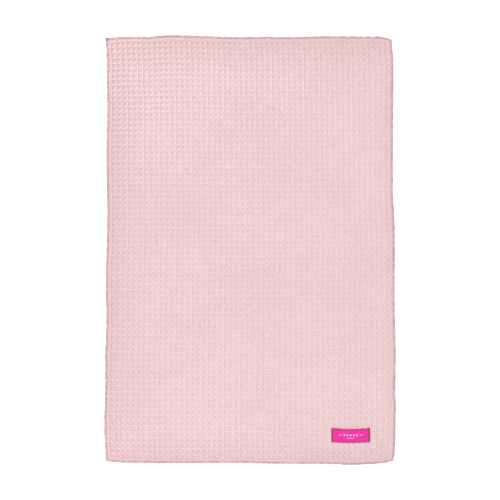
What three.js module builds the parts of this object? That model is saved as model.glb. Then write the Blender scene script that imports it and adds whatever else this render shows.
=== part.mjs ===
// Hand towel: one sheet of waffle cloth with an overlocked edge, lying flat and face up, and a
// woven label sewn on near one corner.
// Millimetres. +X is to the right and +Y to the top of the towel as it lies, +Z is up, and the
// origin is under the middle of the towel on the surface that it lies on.
import * as THREE from 'three';

// The sheet over all
const TOWEL_WIDTH = 406;
const TOWEL_LENGTH = 598;

// The raised waffle, at twice the pitch of the cloth's own 7.6 x 7.8 mm cells
const PITS_ACROSS = 26;
const PITS_ALONG = 38;
const RIDGE_HEIGHT = 2.7;
const PIT_HEIGHT = 1.3;
// Rows sit this far above even spacing halfway up the towel, and further at its left side
const ROW_CREEP = 2.8;
const ROW_CREEP_LEFT = 1.8;

// The rim, from the outermost ridge of the waffle, over the overlocked bead, to the underside
const RIM = [
  { name: 'outermost ridge', inset: 5.6, height: RIDGE_HEIGHT },
  { name: 'groove inside the bead', inset: 2.4, height: 1.7 },
  { name: 'top of the bead', inset: 1.1, height: 2.2 },
  { name: 'edge of the towel', inset: 0, height: 1.2 },
  { name: 'underside of the bead', inset: 0.8, height: 0 },
];

// How far each side lies inside the straight sides of the full width and length. The left and
// right sides are read downwards from the top, the top and bottom sides from left to right.
const LEFT_SIDE = [
  { along: 0, inset: 2.1 },
  { along: 14, inset: 2.6 },
  { along: 40, inset: 3.8 },
  { along: 66, inset: 3.3 },
  { along: 98, inset: 4.2 },
  { along: 166, inset: 2.9 },
  { along: 258, inset: 4.1 },
  { along: 345, inset: 2.2 },
  { along: 412, inset: 2.8 },
  { along: 446, inset: 1.4 },
  { along: 498, inset: 1.2 },
  { along: 540, inset: 0 },
  { along: 562, inset: 0 },
  { along: 580, inset: 1.1 },
  { along: 598, inset: 2.2 },
];
const RIGHT_SIDE = [
  { along: 0, inset: 5.3 },
  { along: 12, inset: 4.9 },
  { along: 32, inset: 3.4 },
  { along: 90, inset: 3.7 },
  { along: 190, inset: 4.1 },
  { along: 228, inset: 3.7 },
  { along: 262, inset: 2 },
  { along: 300, inset: 1.3 },
  { along: 366, inset: 1.7 },
  { along: 450, inset: 0 },
  { along: 496, inset: 0.8 },
  { along: 520, inset: 0 },
  { along: 552, inset: 0.5 },
  { along: 576, inset: 1.1 },
  { along: 598, inset: 3.1 },
];
const TOP_SIDE = [
  { along: 0, inset: 4.4 },
  { along: 16, inset: 2.7 },
  { along: 40, inset: 1.9 },
  { along: 63, inset: 1.9 },
  { along: 80, inset: 0.5 },
  { along: 108, inset: 0 },
  { along: 150, inset: 1.4 },
  { along: 184, inset: 2.6 },
  { along: 219, inset: 2.1 },
  { along: 264, inset: 2.7 },
  { along: 306, inset: 1.6 },
  { along: 374, inset: 1.7 },
  { along: 390, inset: 2.2 },
  { along: 398, inset: 3.8 },
  { along: 406, inset: 7.2 },
];
const BOTTOM_SIDE = [
  { along: 0, inset: 4.5 },
  { along: 12, inset: 4 },
  { along: 22, inset: 3 },
  { along: 60, inset: 2.6 },
  { along: 80, inset: 2 },
  { along: 172, inset: 2.7 },
  { along: 206, inset: 2.1 },
  { along: 250, inset: 1.3 },
  { along: 302, inset: 1.1 },
  { along: 350, inset: 0 },
  { along: 373, inset: 1.1 },
  { along: 386, inset: 1.9 },
  { along: 396, inset: 3.5 },
  { along: 406, inset: 5.2 },
];
// The top and bottom sides' waviness fades this fast into the cloth: 1 would be evenly
const WAVE_FADE = 4;

// The label, a folded strip of satin whose long sides sag between its sewn ends
const LABEL_WIDTH = 53.8;
const LABEL_HEIGHT = 19;
const LABEL_THICKNESS = 1;
const LABEL_SAG = 1.8;
const LABEL_CENTRE_X = 139.9;
const LABEL_CENTRE_Y = -256.8;
const LABEL_SOFT_EDGE = 0.2;
const LABEL_CLEARANCE = 0.3;
const LABEL_CURVE_STEPS = 12;

const waffleCloth = new THREE.MeshStandardMaterial({
  color: 0xf0d1d1,
  roughness: 0.95,
  metalness: 0,
});
const labelSatin = new THREE.MeshStandardMaterial({
  color: 0xee42a3,
  roughness: 0.45,
  metalness: 0,
});

// A side's inset at any place along it, on a smooth curve through the rows of its table
function insetOf(side, along) {
  const last = side.length - 1;
  let row = 0;
  while (row < last - 1 && side[row + 1].along < along) {
    row += 1;
  }
  const slopeAt = (index) => {
    const before = side[Math.max(index - 1, 0)];
    const after = side[Math.min(index + 1, last)];
    return (after.inset - before.inset) / (after.along - before.along);
  };
  const span = side[row + 1].along - side[row].along;
  const t = (along - side[row].along) / span;
  const rise = side[row + 1].inset - side[row].inset;
  const leave = slopeAt(row) * span;
  const arrive = slopeAt(row + 1) * span;
  return side[row].inset + t * leave
    + t * t * (3 * rise - 2 * leave - arrive)
    + t * t * t * (leave + arrive - 2 * rise);
}

// A place on the sheet: across runs from 0 at the left side to 1 at the right, up from 0 at the
// bottom side to 1 at the top
function placeOnSheet(across, up) {
  const down = (1 - up) * TOWEL_LENGTH;
  const along = across * TOWEL_WIDTH;
  const left = insetOf(LEFT_SIDE, down) * (1 - across);
  const right = insetOf(RIGHT_SIDE, down) * across;
  const bottom = insetOf(BOTTOM_SIDE, along) * (1 - up) ** WAVE_FADE;
  const top = insetOf(TOP_SIDE, along) * up ** WAVE_FADE;
  const creep = (ROW_CREEP + ROW_CREEP_LEFT * (1 - across) ** 2) * Math.sin(Math.PI * up);
  return new THREE.Vector2(
    (across - 0.5) * TOWEL_WIDTH + left - right,
    (up - 0.5) * TOWEL_LENGTH + bottom - top + creep,
  );
}

// One closed line round the towel, a set distance inside its edge, with a point at each end and
// at the middle of each pit. It starts at the bottom left and goes anticlockwise.
function lineRoundTowel(inset) {
  const acrossInset = inset / TOWEL_WIDTH;
  const upInset = inset / TOWEL_LENGTH;
  const acrossSteps = PITS_ACROSS * 2;
  const upSteps = PITS_ALONG * 2;
  const at = (acrossStep, upStep) => placeOnSheet(
    acrossInset + (1 - 2 * acrossInset) * (acrossStep / acrossSteps),
    upInset + (1 - 2 * upInset) * (upStep / upSteps),
  );
  const line = [];
  for (let step = 0; step < acrossSteps; step += 1) {
    line.push(at(step, 0));
  }
  for (let step = 0; step < upSteps; step += 1) {
    line.push(at(acrossSteps, step));
  }
  for (let step = acrossSteps; step > 0; step -= 1) {
    line.push(at(step, upSteps));
  }
  for (let step = upSteps; step > 0; step -= 1) {
    line.push(at(0, step));
  }
  return line;
}

// The closed towel: raised face, rim and flat underside
function makeTowelGeometry() {
  const positions = [];
  const triangles = [];
  const addPoint = (place, height) => {
    positions.push(place.x, place.y, height);
    return positions.length / 3 - 1;
  };

  // The rim's lines, from the face outwards and down to the underside
  const rimLines = RIM.map(({ inset, height }) => (
    lineRoundTowel(inset).map((place) => addPoint(place, height))
  ));
  const pointsRound = rimLines[0].length;
  for (let line = 1; line < rimLines.length; line += 1) {
    const inner = rimLines[line - 1];
    const outer = rimLines[line];
    for (let k = 0; k < pointsRound; k += 1) {
      const next = (k + 1) % pointsRound;
      triangles.push(inner[k], outer[k], outer[next]);
      triangles.push(inner[k], outer[next], inner[next]);
    }
  }

  // The ridges' crossings. Those on the outermost ridge are already points of the rim.
  const acrossInset = RIM[0].inset / TOWEL_WIDTH;
  const upInset = RIM[0].inset / TOWEL_LENGTH;
  const onFace = (column, row, height) => addPoint(
    placeOnSheet(
      acrossInset + (1 - 2 * acrossInset) * (column / PITS_ACROSS),
      upInset + (1 - 2 * upInset) * (row / PITS_ALONG),
    ),
    height,
  );
  const acrossSteps = PITS_ACROSS * 2;
  const upSteps = PITS_ALONG * 2;
  const rimPoint = (acrossStep, upStep) => {
    if (upStep === 0) {
      return rimLines[0][acrossStep];
    }
    if (acrossStep === acrossSteps) {
      return rimLines[0][acrossSteps + upStep];
    }
    if (upStep === upSteps) {
      return rimLines[0][acrossSteps * 2 + upSteps - acrossStep];
    }
    return rimLines[0][(acrossSteps + upSteps) * 2 - upStep];
  };
  const isOutermost = (column, row) => (
    column === 0 || column === PITS_ACROSS || row === 0 || row === PITS_ALONG
  );
  const crossings = [];
  for (let row = 0; row <= PITS_ALONG; row += 1) {
    const crossingRow = [];
    for (let column = 0; column <= PITS_ACROSS; column += 1) {
      crossingRow.push(isOutermost(column, row)
        ? rimPoint(column * 2, row * 2)
        : onFace(column, row, RIDGE_HEIGHT));
    }
    crossings.push(crossingRow);
  }

  // Each pit is a fan of slopes from its middle up to the ridges around it
  for (let row = 0; row < PITS_ALONG; row += 1) {
    for (let column = 0; column < PITS_ACROSS; column += 1) {
      const middle = onFace(column + 0.5, row + 0.5, PIT_HEIGHT);
      const around = [crossings[row][column]];
      if (row === 0) {
        around.push(rimPoint(column * 2 + 1, 0));
      }
      around.push(crossings[row][column + 1]);
      if (column === PITS_ACROSS - 1) {
        around.push(rimPoint(acrossSteps, row * 2 + 1));
      }
      around.push(crossings[row + 1][column + 1]);
      if (row === PITS_ALONG - 1) {
        around.push(rimPoint(column * 2 + 1, upSteps));
      }
      around.push(crossings[row + 1][column]);
      if (column === 0) {
        around.push(rimPoint(0, row * 2 + 1));
      }
      around.forEach((point, k) => {
        triangles.push(middle, point, around[(k + 1) % around.length]);
      });
    }
  }

  // The flat underside, inside the rim's last line
  const underside = rimLines[rimLines.length - 1];
  const outline = underside.map((point) => (
    new THREE.Vector2(positions[point * 3], positions[point * 3 + 1])
  ));
  THREE.ShapeUtils.triangulateShape(outline, []).forEach(([a, b, c]) => {
    triangles.push(underside[a], underside[c], underside[b]);
  });

  const geometry = new THREE.BufferGeometry();
  geometry.setAttribute('position', new THREE.Float32BufferAttribute(positions, 3));
  geometry.setIndex(triangles);
  return geometry;
}

function makeLabelGeometry() {
  const halfWidth = LABEL_WIDTH / 2 - LABEL_SOFT_EDGE;
  const halfHeight = LABEL_HEIGHT / 2 - LABEL_SOFT_EDGE;
  const outline = new THREE.Shape();
  outline.moveTo(-halfWidth, -halfHeight);
  outline.quadraticCurveTo(0, -halfHeight - 2 * LABEL_SAG, halfWidth, -halfHeight);
  outline.lineTo(halfWidth, halfHeight);
  outline.quadraticCurveTo(0, halfHeight - 2 * LABEL_SAG, -halfWidth, halfHeight);
  outline.closePath();
  const geometry = new THREE.ExtrudeGeometry(outline, {
    depth: LABEL_THICKNESS - 2 * LABEL_SOFT_EDGE,
    bevelThickness: LABEL_SOFT_EDGE,
    bevelSize: LABEL_SOFT_EDGE,
    bevelSegments: 1,
    curveSegments: LABEL_CURVE_STEPS,
  });
  geometry.translate(0, 0, LABEL_SOFT_EDGE);
  return geometry;
}

const towel = new THREE.Mesh(makeTowelGeometry(), waffleCloth);
towel.name = 'towel';

const label = new THREE.Mesh(makeLabelGeometry(), labelSatin);
label.name = 'label';
label.position.set(LABEL_CENTRE_X, LABEL_CENTRE_Y, RIDGE_HEIGHT + LABEL_CLEARANCE);

// The uneven outline is centred over the origin
const handTowel = new THREE.Group();
const reach = new THREE.Box3().setFromObject(towel);
const middle = reach.getCenter(new THREE.Vector3());
handTowel.add(towel, label);
handTowel.position.set(-middle.x, -middle.y, 0);

export default handTowel;
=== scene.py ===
"""Hand towel of pale pink waffle cloth, lying flat and face up: the cloth with its pits and ridges,
the yarns that float over them, the overlocked edge, the sewn satin label, and a plain stage."""
import math

import bpy
import numpy as np
from bpy.props import FloatProperty, FloatVectorProperty, IntProperty, PointerProperty
from bpy.types import Operator, Panel, PropertyGroup
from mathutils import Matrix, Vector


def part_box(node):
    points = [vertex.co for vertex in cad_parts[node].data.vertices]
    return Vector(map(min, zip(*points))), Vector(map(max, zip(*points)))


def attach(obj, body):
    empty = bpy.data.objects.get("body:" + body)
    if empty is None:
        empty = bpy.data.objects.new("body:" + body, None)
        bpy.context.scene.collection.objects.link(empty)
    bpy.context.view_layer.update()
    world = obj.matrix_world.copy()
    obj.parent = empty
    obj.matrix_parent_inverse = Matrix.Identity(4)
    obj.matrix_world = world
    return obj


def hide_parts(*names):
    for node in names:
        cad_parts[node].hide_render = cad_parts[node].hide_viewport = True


bl_info = {
    "name": "Waffle hand towel",
    "version": (1, 0, 0),
    "blender": (4, 5, 0),
    "location": "3D View > Sidebar > Towel",
    "description": "Makes a hand towel of waffle cloth with an overlocked edge and a sewn label",
    "category": "Add Mesh",
}

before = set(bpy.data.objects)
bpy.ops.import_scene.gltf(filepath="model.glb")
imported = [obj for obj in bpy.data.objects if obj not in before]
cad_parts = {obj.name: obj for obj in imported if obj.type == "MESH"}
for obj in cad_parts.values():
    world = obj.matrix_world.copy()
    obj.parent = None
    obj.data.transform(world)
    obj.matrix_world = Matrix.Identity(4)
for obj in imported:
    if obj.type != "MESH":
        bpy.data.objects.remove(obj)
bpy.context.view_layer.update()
label_low, label_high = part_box("label")

BODY = "root"
MM = 0.001
SEED = 11

# The straight sheet, before it is laid down with uneven sides, in metres
WIDTH = 406 * MM
LENGTH = 598 * MM
# Waffle cells across and along it, and the part of a cell outside the first ridge
CELLS_ACROSS = 53.6
CELLS_ALONG = 76.66
LEFT_PART = 0.93
TOP_PART = 0.95
CELL_WIDE = WIDTH / CELLS_ACROSS
CELL_TALL = LENGTH / CELLS_ALONG
RIDGES_ACROSS = 53
RIDGES_ALONG = 76
THREADS_PER_CELL = 8
# A cell counts as whole from this share of a whole one, and has no pit below the second
WHOLE_CELL = 0.95
LEAST_CELL = 0.2
# How deep part cells' pits are on the face and on the back, for a whole one's 1, and how deep the
# outermost pits on the back are. How much the depth of the face's pits varies.
PART_CELL_DEPTH = 0.7
PART_CELL_BACK_DEPTH = 0.5
RIM_BACK_DEPTH = 0.4
UNEVEN_DEPTH = 0.03
# Faces whose pit is no deeper than this stay level
LEAST_DEPTH = 0.01 * MM

# Rows sit this far above even spacing halfway up the towel, and further at its left side
ROW_CREEP = 2.8 * MM
ROW_CREEP_LEFT = 1.8 * MM
# How far handling has swayed the columns to the right, in millimetres, down from the top, and the
# share of the width, at each side, within which this dies away
COLUMN_SWAY = [
    (0, -1), (24, -1), (73, -0.7), (129, 0.5), (191, 1), (261, 0.2), (330, 0.4), (400, -0.3),
    (469, -0.3), (539, 0.3), (598, 0.3),
]
SWAY_FADE = 0.125
# The top and bottom sides' waviness fades this fast into the cloth: 1 would be evenly
WAVE_FADE = 4
# Handling moves the crossings of the ridges less near the edge: its moves grow from nothing to
# full over this distance, which starts this share of itself inside the edge
SLACK_FADE = 8 * MM
SLACK_START = 0.2

# How far each side lies inside the straight sheet, in millimetres: rows of (along, inset). The
# left and right sides are read downwards from the top, the others from left to right.
LEFT_SIDE = [
    (0, 2.1), (14, 2.6), (40, 3.8), (66, 3.3), (98, 4.2), (166, 2.9), (258, 4.1), (345, 2.2),
    (412, 2.8), (446, 1.4), (498, 1.2), (540, 0), (562, 0), (580, 1.1), (598, 2.2),
]
RIGHT_SIDE = [
    (0, 5.3), (12, 4.9), (32, 3.4), (90, 3.7), (190, 4.1), (228, 3.7), (262, 2), (300, 1.3),
    (366, 1.7), (450, 0), (496, 0.8), (520, 0), (552, 0.5), (576, 1.1), (598, 3.1),
]
TOP_SIDE = [
    (0, 4.4), (16, 2.7), (40, 1.9), (63, 1.9), (80, 0.5), (108, 0), (150, 1.4), (184, 2.6),
    (219, 2.1), (264, 2.7), (306, 1.6), (374, 1.7), (390, 2.2), (398, 3.8), (406, 7.2),
]
BOTTOM_SIDE = [
    (0, 4.5), (12, 4), (22, 3), (60, 2.6), (80, 2), (172, 2.7), (206, 2.1), (250, 1.3),
    (302, 1.1), (350, 0), (373, 1.1), (386, 1.9), (396, 3.5), (406, 5.2),
]

# The rim of the cloth under the overlocking: how far inside the edge its seam is and how high on
# the face, how high over the surface a stitch ends at the back, before its dive, and the rounded
# core that the thread wraps, with the angles of its corners
SEAM_INSET = 2.2 * MM
SEAM_FACE = 2.05 * MM
SEAM_BACK = 0.4 * MM
CORE_INSET = 1.25 * MM
CORE_HEIGHT = 1.12 * MM
CORE_HALF_WIDTH = 0.75 * MM
CORE_HALF_HEIGHT = 0.7 * MM
CORE_TURNS = [120, 60, 0, -60, -120]

# A pit's rings, outermost first: (share of the cell's side, share of the pit's depth)
FACE_RINGS = [(0.83, 0.27), (0.5, 0.68), (0.17, 0.98)]
BACK_RINGS = [(0.8, 0.18), (0.3, 0.9)]

# The floats' lengths in cells: on the upright and the level ridges and over their crossings, and
# on two levels of a pit's walls, at a reach that is 0 in the pit's middle and 1 on the ridge
UPRIGHT_LENGTH = 0.92
LEVEL_LENGTH = 0.9
CROSSING_LENGTH = 0.24
SLOPE_FLOATS = {"reach": 0.76, "length": 0.66}
PIT_FLOATS = {"reach": 0.5, "length": 0.42}
# No float lies on less than this share of a cell of ridge, and a wall's slope is measured this
# share of the way to either side of a float
LEAST_SPAN = 0.25
SLOPE_STEP = 0.1
# How wide floats on ridges and crossings are and how high those in a pit are, for a yarn's 1
RIDGE_FULLNESS = 1.4
CROSSING_FULLNESS = 1.3
WALL_FLATNESS = 0.45
# How deep floats lie in the cloth, and how far those on the ridges stand proud, in yarn heights
FLOAT_SUNK = 0.12
CROSSING_SUNK = 0.1
RIDGE_PROUD = 0.38
# A float of unit size ends this far below its middle. It arches down and thins by these times
# the square of the way from its middle.
FLOAT_DIVE = 0.9
FLOAT_TAPER = 0.7

# The overlocking's path: its corners, the spacing of its points, and how far it wanders in and
# out. Then the angles of a stitch's points round the core, and how deep its ends dive.
CORNER_RADIUS = 1.6 * MM
CORNER_STEPS = 4
PATH_SPACING = 2 * MM
WANDER = 0.4 * MM
STITCH_TURNS = [155, 105, 55, 0, -60, -120]
STITCH_DIVE = 0.3 * MM
# A needle stitch reaches this many spacings each way along the seam: rows of its share of that
# reach and its height over the face there
NEEDLE_REACH = 0.52
NEEDLE_PATH = [(-1, -0.2 * MM), (-0.5, 0.12 * MM), (0.5, 0.12 * MM), (1, -0.2 * MM)]
# The chain of thread at its start, from the towel's upper left corner: millimetres right, up and
# above the surface. Its tone, from 0 for dark to 1 for light, and the share of the edge thread's
# own colour that its dark one has.
TAIL = [
    (5.6, -1.3, 0.9), (4, -0.8, 2.1), (2.4, -0.4, 2.3), (1.2, -0.5, 2), (0.6, -1.4, 1.9),
    (0.7, -2.6, 2.1), (1, -3.8, 2.2), (1.6, -5, 0.9),
]
TAIL_RADIUS = 0.75 * MM
TAIL_TONE = 0.2
TAIL_SHADE = 0.62

# The cloth is pressed flatter within about this distance of the label, by up to this share
PRESSED_MARGIN = 5 * MM
PRESSED_SHARE = 0.8
# The cloth has painted shade, a little deeper colour, within these distances of its left, right,
# top and bottom, and half as much within about this distance of the label
SHADED_MARGINS = [75 * MM, 25 * MM, 75 * MM, 58 * MM]
SHADED_LABEL_MARGIN = 7.5 * MM
# The overlocking covers the cloth in full up to this far outside the seam, by this share at the
# seam, and inside it by less: by 1 less over the last distance
COVER_SEAM = 0.1 * MM
COVER_START = 0.4
COVER_FADE = 4 * MM

# The ribbon lies this far over the yarns, and is folded round this many times its thickness
RIBBON_CLEARANCE = 0.02 * MM
FOLD_RADIUS = 0.65
# A fold's length along the ribbon, the middle and the bulge of its bend, and the angles of the
# bend's points. Past the folded ends, the ribbon comes down to a single layer in this distance.
FOLD_LENGTH = 0.6 * MM
FOLD_MIDDLE = 0.34 * MM
FOLD_BULGE = 0.18 * MM
FOLD_TURNS = [-60, -25, 25, 60]
FOLD_RAMP = 3 * MM
# How many points the ribbon has along each folded end and along its top, and across
FLAP_STEPS = 5
RIBBON_STEPS = 57
RIBBON_ROWS = 15
# How far its long sides wave in and out and its middle up and down over the cells
RIBBON_RIPPLE = 0.16 * MM
RIBBON_SWELL = 0.07 * MM
# How much thinner its long sides are, how steeply that and their painted shade set in towards
# them, and how much painted shade they have. Its ends have painted shade in full up to 1.6 times
# the last distance inside them.
SELVEDGE_TAPER = 0.6
SELVEDGE_POWER = 8
SELVEDGE_SHADE = 0.7
END_SHADE = 2.6
END_SHADE_FADE = 0.8 * MM
# Its motif, in millimetres: where a bar starts and ends past the row of lozenges, and half the
# height of a bar and of the line. Its picks, in radians a millimetre, and their height.
BAR_START = 2
BAR_END = 5.5
HALF_STROKE = 0.4
PICKS = 22
PICK_HEIGHT = 0.35
# Its stitches: how far inside its ends they are, the share of their spacing that each covers,
# their thickness and how proud they stand
STITCH_INSET = 1 * MM
STITCH_RUN = 0.9
STITCH_WIDTH = 0.5 * MM
STITCH_PROUD = 0.15 * MM

# Constant values of the shaders: soft matte cotton, spun polyester thread and woven satin
COTTON = {
    "Roughness": 0.92, "Specular IOR Level": 0.2, "Sheen Weight": 0.12, "Sheen Roughness": 0.6,
}
THREAD = {
    "Roughness": 0.6, "Specular IOR Level": 0.3, "Sheen Weight": 0.1, "Sheen Roughness": 0.5,
}
SATIN = {
    "Roughness": 0.42, "Specular IOR Level": 0.3, "Sheen Weight": 0.1, "Sheen Roughness": 0.4,
}
# How strongly loose fibre and the painted shade of the margins change the cotton's colour, and
# how far its warmer patches lean from pink
FIBRE_TONE = 1.8
MARGIN_SHADE = 0.42
WARMTH = 0.012
# Painted shade: how much deeper the cloth is in the grooves between its yarns and on the pits'
# walls, and how much of that its pits lose. The same painted shade for the grooves of a floating
# yarn, and the tone that varies at random from yarn to yarn.
GROOVE_SHADE = 0.4
WALL_SHADE = 0.4
PIT_SHADE_LOSS = 0.2
TWIST_SHADE = 0.25
YARN_TONE = 0.15
# How far the motif covers the satin, the satin's share of light under its painted shade, and the
# floor's darker share of light
MOTIF_COVER = 0.85
SATIN_SHADE = 0.36
FLOOR_SHADE = 0.97

# Soft lamps near the towel: name, place in metres, and power in watts
LAMPS = [
    ("upper_left_lamp", (-0.45, 0.6, 0.15), 0.7),
    ("far_upper_left_lamp", (-0.75, 1.1, 0.35), 0.95),
    ("lower_left_lamp", (-0.45, -0.65, 0.15), 0.58),
    ("lower_lamp", (0.1, -0.7, 0.15), 0.24),
    ("right_lamp", (0.7, 0, 0.45), 0.2),
]
LAMP_SIZE = 0.24
# The window's light comes from here and is this many degrees wide
WINDOW_PLACE = (-1.5, 0, 1.26)
WINDOW_ANGLE = 25
# The sky's light turns from the horizon's to the even one between these heights of its direction
HORIZON_BAND = (0.02, 0.3)
# Half the floor's side, and its height just under the surface
FLOOR_HALF = 6.0
FLOOR_LEVEL = -0.05 * MM
# The width of the camera's sensor, in millimetres
SENSOR_WIDTH = 36
# The camera's distance is measured from this height, that of the cloth's face
VIEW_LEVEL = 2 * MM

# What a map leaves free at its edges, and the bands of the label's map: each one's height and
# how much of it is filled
MAP_MARGIN = 0.01
MAP_BAND = 0.25
MAP_BAND_FILLED = 0.22


# Settings that a user may change


def length_prop(name, description, default):
    """A length in the panel."""
    return FloatProperty(
        name=name, description=description, default=default, unit="LENGTH", precision=5)


def number_prop(name, description, default, least, most):
    """A plain number in the panel."""
    return FloatProperty(name=name, description=description, default=default, min=least, max=most)


def colour_prop(name, description, default):
    """A colour in the panel."""
    return FloatVectorProperty(
        name=name, description=description, default=default, subtype="COLOR", min=0, max=1)


class ClothSettings(PropertyGroup):
    """Sizes and colours of the waffle cloth"""
    crest: length_prop("Ridge height", "Height of the cloth's ridges above the surface", 2.45 * MM)
    depth: length_prop("Pit depth", "Depth of a pit on the face below its ridges", 2.0 * MM)
    back_depth: length_prop(
        "Back pit depth", "Depth of a pit on the back above its ridges", 1.1 * MM)
    yarn_width: length_prop("Yarn width", "Width of a yarn where it floats", 0.98 * MM)
    yarn_height: length_prop("Yarn height", "Height of a yarn where it floats", 0.66 * MM)
    lift: length_prop("Lift", "How high the sheet's gentle waves rise off the surface", 0.5 * MM)
    slack: length_prop(
        "Slack", "How far handling has moved each crossing of the ridges", 0.07 * MM)
    # The cotton mixes from the pale pink towards the deep one for painted shade in its grooves, on
    # its pits' walls and in its margins, and for its tone that varies at random
    pale: colour_prop("Pale pink", "Colour of the cotton on the ridges", (0.91, 0.72, 0.724))
    deep: colour_prop("Deep pink", "Colour of the cotton between the yarns", (0.76, 0.53, 0.535))


class EdgeSettings(PropertyGroup):
    """Sizes and colours of the overlocked edge"""
    spacing: length_prop(
        "Stitch spacing", "Distance from one overlock stitch to the next", 1.15 * MM)
    thread: length_prop("Thread width", "Width of the overlock thread", 0.7 * MM)
    reach: length_prop("Stitch reach", "How far the stitches reach in from the edge", 2.6 * MM)
    colour: colour_prop("Thread colour", "Colour of the overlock thread", (0.565, 0.328, 0.383))
    light: colour_prop(
        "Light thread colour", "Colour of the overlock thread where it is paler",
        (0.8, 0.54, 0.58))


class LabelSettings(PropertyGroup):
    """Sizes and colours of the sewn label"""
    thickness: length_prop(
        "Ribbon thickness", "Thickness of one layer of the satin ribbon", 0.24 * MM)
    fold: length_prop("Folded end", "Length of ribbon folded under at each end", 6 * MM)
    sag: length_prop(
        "Sag", "How far the ribbon's long sides droop between its sewn ends", 1.4 * MM)
    stitches: IntProperty(
        name="Stitches", description="Stitches that hold each end down",
        default=8, min=2, max=20)
    satin: colour_prop("Satin", "Colour of the satin ribbon", (0.775, 0.022, 0.312))
    motif: colour_prop("Motif", "Colour of the woven motif", (0.95, 0.5, 0.78))
    thread: colour_prop(
        "Sewing thread", "Colour of the thread that holds the label", (0.5, 0.015, 0.16))


class StageSettings(PropertyGroup):
    """The floor, the light and the camera"""
    floor: colour_prop("Floor", "Colour of the floor", (0.84, 0.84, 0.84))
    glow: number_prop("Floor glow", "Light that the floor gives, as a lit table does", 0.35, 0, 1)
    sky: number_prop("Even light", "Strength of the light from all round and above", 1.02, 0, 4)
    horizon: number_prop(
        "Horizon light", "Strength of the light from near the horizon", 1.02, 0, 4)
    sun: number_prop(
        "Window light", "Strength of the soft light from the upper left", 0.3, 0, 10)
    lamps: number_prop("Lamps", "Strength of the soft lamps round the towel", 1, 0, 4)
    lens: number_prop("Lens", "The camera's focal length in millimetres", 135, 20, 300)
    view_width: length_prop(
        "View width", "Width of the surface that the picture takes in", 695 * MM)


# Shape of the sheet as it lies


def table_curve(table, along):
    """A table's millimetres at places along it, on a smooth curve through its rows."""
    spots, values = np.array(table, float).T * MM
    last = len(spots) - 1
    after = np.minimum(np.arange(last + 1) + 1, last)
    before = np.maximum(np.arange(last + 1) - 1, 0)
    slopes = (values[after] - values[before]) / (spots[after] - spots[before])
    row = np.clip(np.searchsorted(spots, along) - 1, 0, last - 1)
    span = spots[row + 1] - spots[row]
    t = (along - spots[row]) / span
    rise = values[row + 1] - values[row]
    leave = slopes[row] * span
    arrive = slopes[row + 1] * span
    return (values[row] + t * leave + t**2 * (3 * rise - 2 * leave - arrive)
            + t**3 * (leave + arrive - 2 * rise))


def outline_shift(x, y):
    """How far the towel's uneven sides move each place of the straight sheet."""
    across = x / WIDTH + 0.5
    up = y / LENGTH + 0.5
    down_side = np.clip(1 - up, 0, 1) * LENGTH
    along_side = np.clip(across, 0, 1) * WIDTH
    left = table_curve(LEFT_SIDE, down_side) * (1 - across)
    right = table_curve(RIGHT_SIDE, down_side) * across
    bottom = table_curve(BOTTOM_SIDE, along_side) * (1 - up) ** WAVE_FADE
    top = table_curve(TOP_SIDE, along_side) * up ** WAVE_FADE
    creep = (ROW_CREEP + ROW_CREEP_LEFT * (1 - across) ** 2) * np.sin(math.pi * up)
    full = np.clip(np.minimum(across, 1 - across) / SWAY_FADE, 0, 1)
    return left - right + table_curve(COLUMN_SWAY, down_side) * full, bottom - top + creep


def wave_height(x, y):
    """The sheet's gentle rise off the surface, from 0 to 1, in waves of about 0.1 to 0.4 m."""
    long_wave = np.sin(21 * x + 9 * y + 0.6) * np.sin(13 * y - 6 * x + 1.9)
    short_wave = np.sin(47 * x - 31 * y + 2.2) * np.sin(38 * y + 17 * x)
    return np.clip(0.5 + 0.35 * long_wave + 0.15 * short_wave, 0, 1)


def cell_place(x, y):
    """Cells right of the first upright ridge and below the first level one."""
    return (x + WIDTH / 2) / CELL_WIDE - LEFT_PART, (LENGTH / 2 - y) / CELL_TALL - TOP_PART


def crossing_slack(x, y):
    """How far handling has moved the cloth at each place, in shares of the slack: the ridges'
    crossings are moved at random, and what lies between them follows."""
    moves = np.random.default_rng(SEED).normal(size=(RIDGES_ACROSS + 2, RIDGES_ALONG + 2, 3))
    moves = np.clip(moves, -2, 2)
    column, row = cell_place(x, y)
    column = np.clip(column + 1, 0, RIDGES_ACROSS + 0.999)
    row = np.clip(row + 1, 0, RIDGES_ALONG + 0.999)
    i, j = column.astype(int), row.astype(int)
    u, v = (column - i)[:, None], (row - j)[:, None]
    near = moves[i, j] * (1 - u) + moves[i + 1, j] * u
    far = moves[i, j + 1] * (1 - u) + moves[i + 1, j + 1] * u
    inside = np.minimum(WIDTH / 2 - abs(x), LENGTH / 2 - abs(y))
    fade = np.clip(inside / SLACK_FADE - SLACK_START, 0, 1)[:, None]
    return (near * (1 - v) + far * v) * fade


def laid(points, cloth):
    """Points of the straight sheet, laid down as the towel lies."""
    x, y, z = points.T
    move_x, move_y = outline_shift(x, y)
    slack = crossing_slack(x, y) * cloth.slack
    height_share = np.clip(z / cloth.crest, 0, 1)
    return np.stack([
        x + move_x + slack[:, 0] - centre_shift[0],
        y + move_y + slack[:, 1] - centre_shift[1],
        z + cloth.lift * wave_height(x, y) + 0.5 * slack[:, 2] * height_share,
    ], axis=1)


def outline_centre():
    """The middle of the uneven outline's box, which lies over the origin."""
    across = np.linspace(-WIDTH / 2, WIDTH / 2, 200)
    up = np.linspace(-LENGTH / 2, LENGTH / 2, 300)
    left, right = (side + outline_shift(np.full(300, side), up)[0]
                   for side in (-WIDTH / 2, WIDTH / 2))
    bottom, top = (side + outline_shift(across, np.full(200, side))[1]
                   for side in (-LENGTH / 2, LENGTH / 2))
    return (left.min() + right.max()) / 2, (bottom.min() + top.max()) / 2


centre_shift = outline_centre()


# Small helpers for meshes


def new_object(name, mesh):
    """A new object at the origin that holds this mesh."""
    piece = bpy.data.objects.new(name, mesh)
    bpy.context.scene.collection.objects.link(piece)
    return piece


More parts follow.
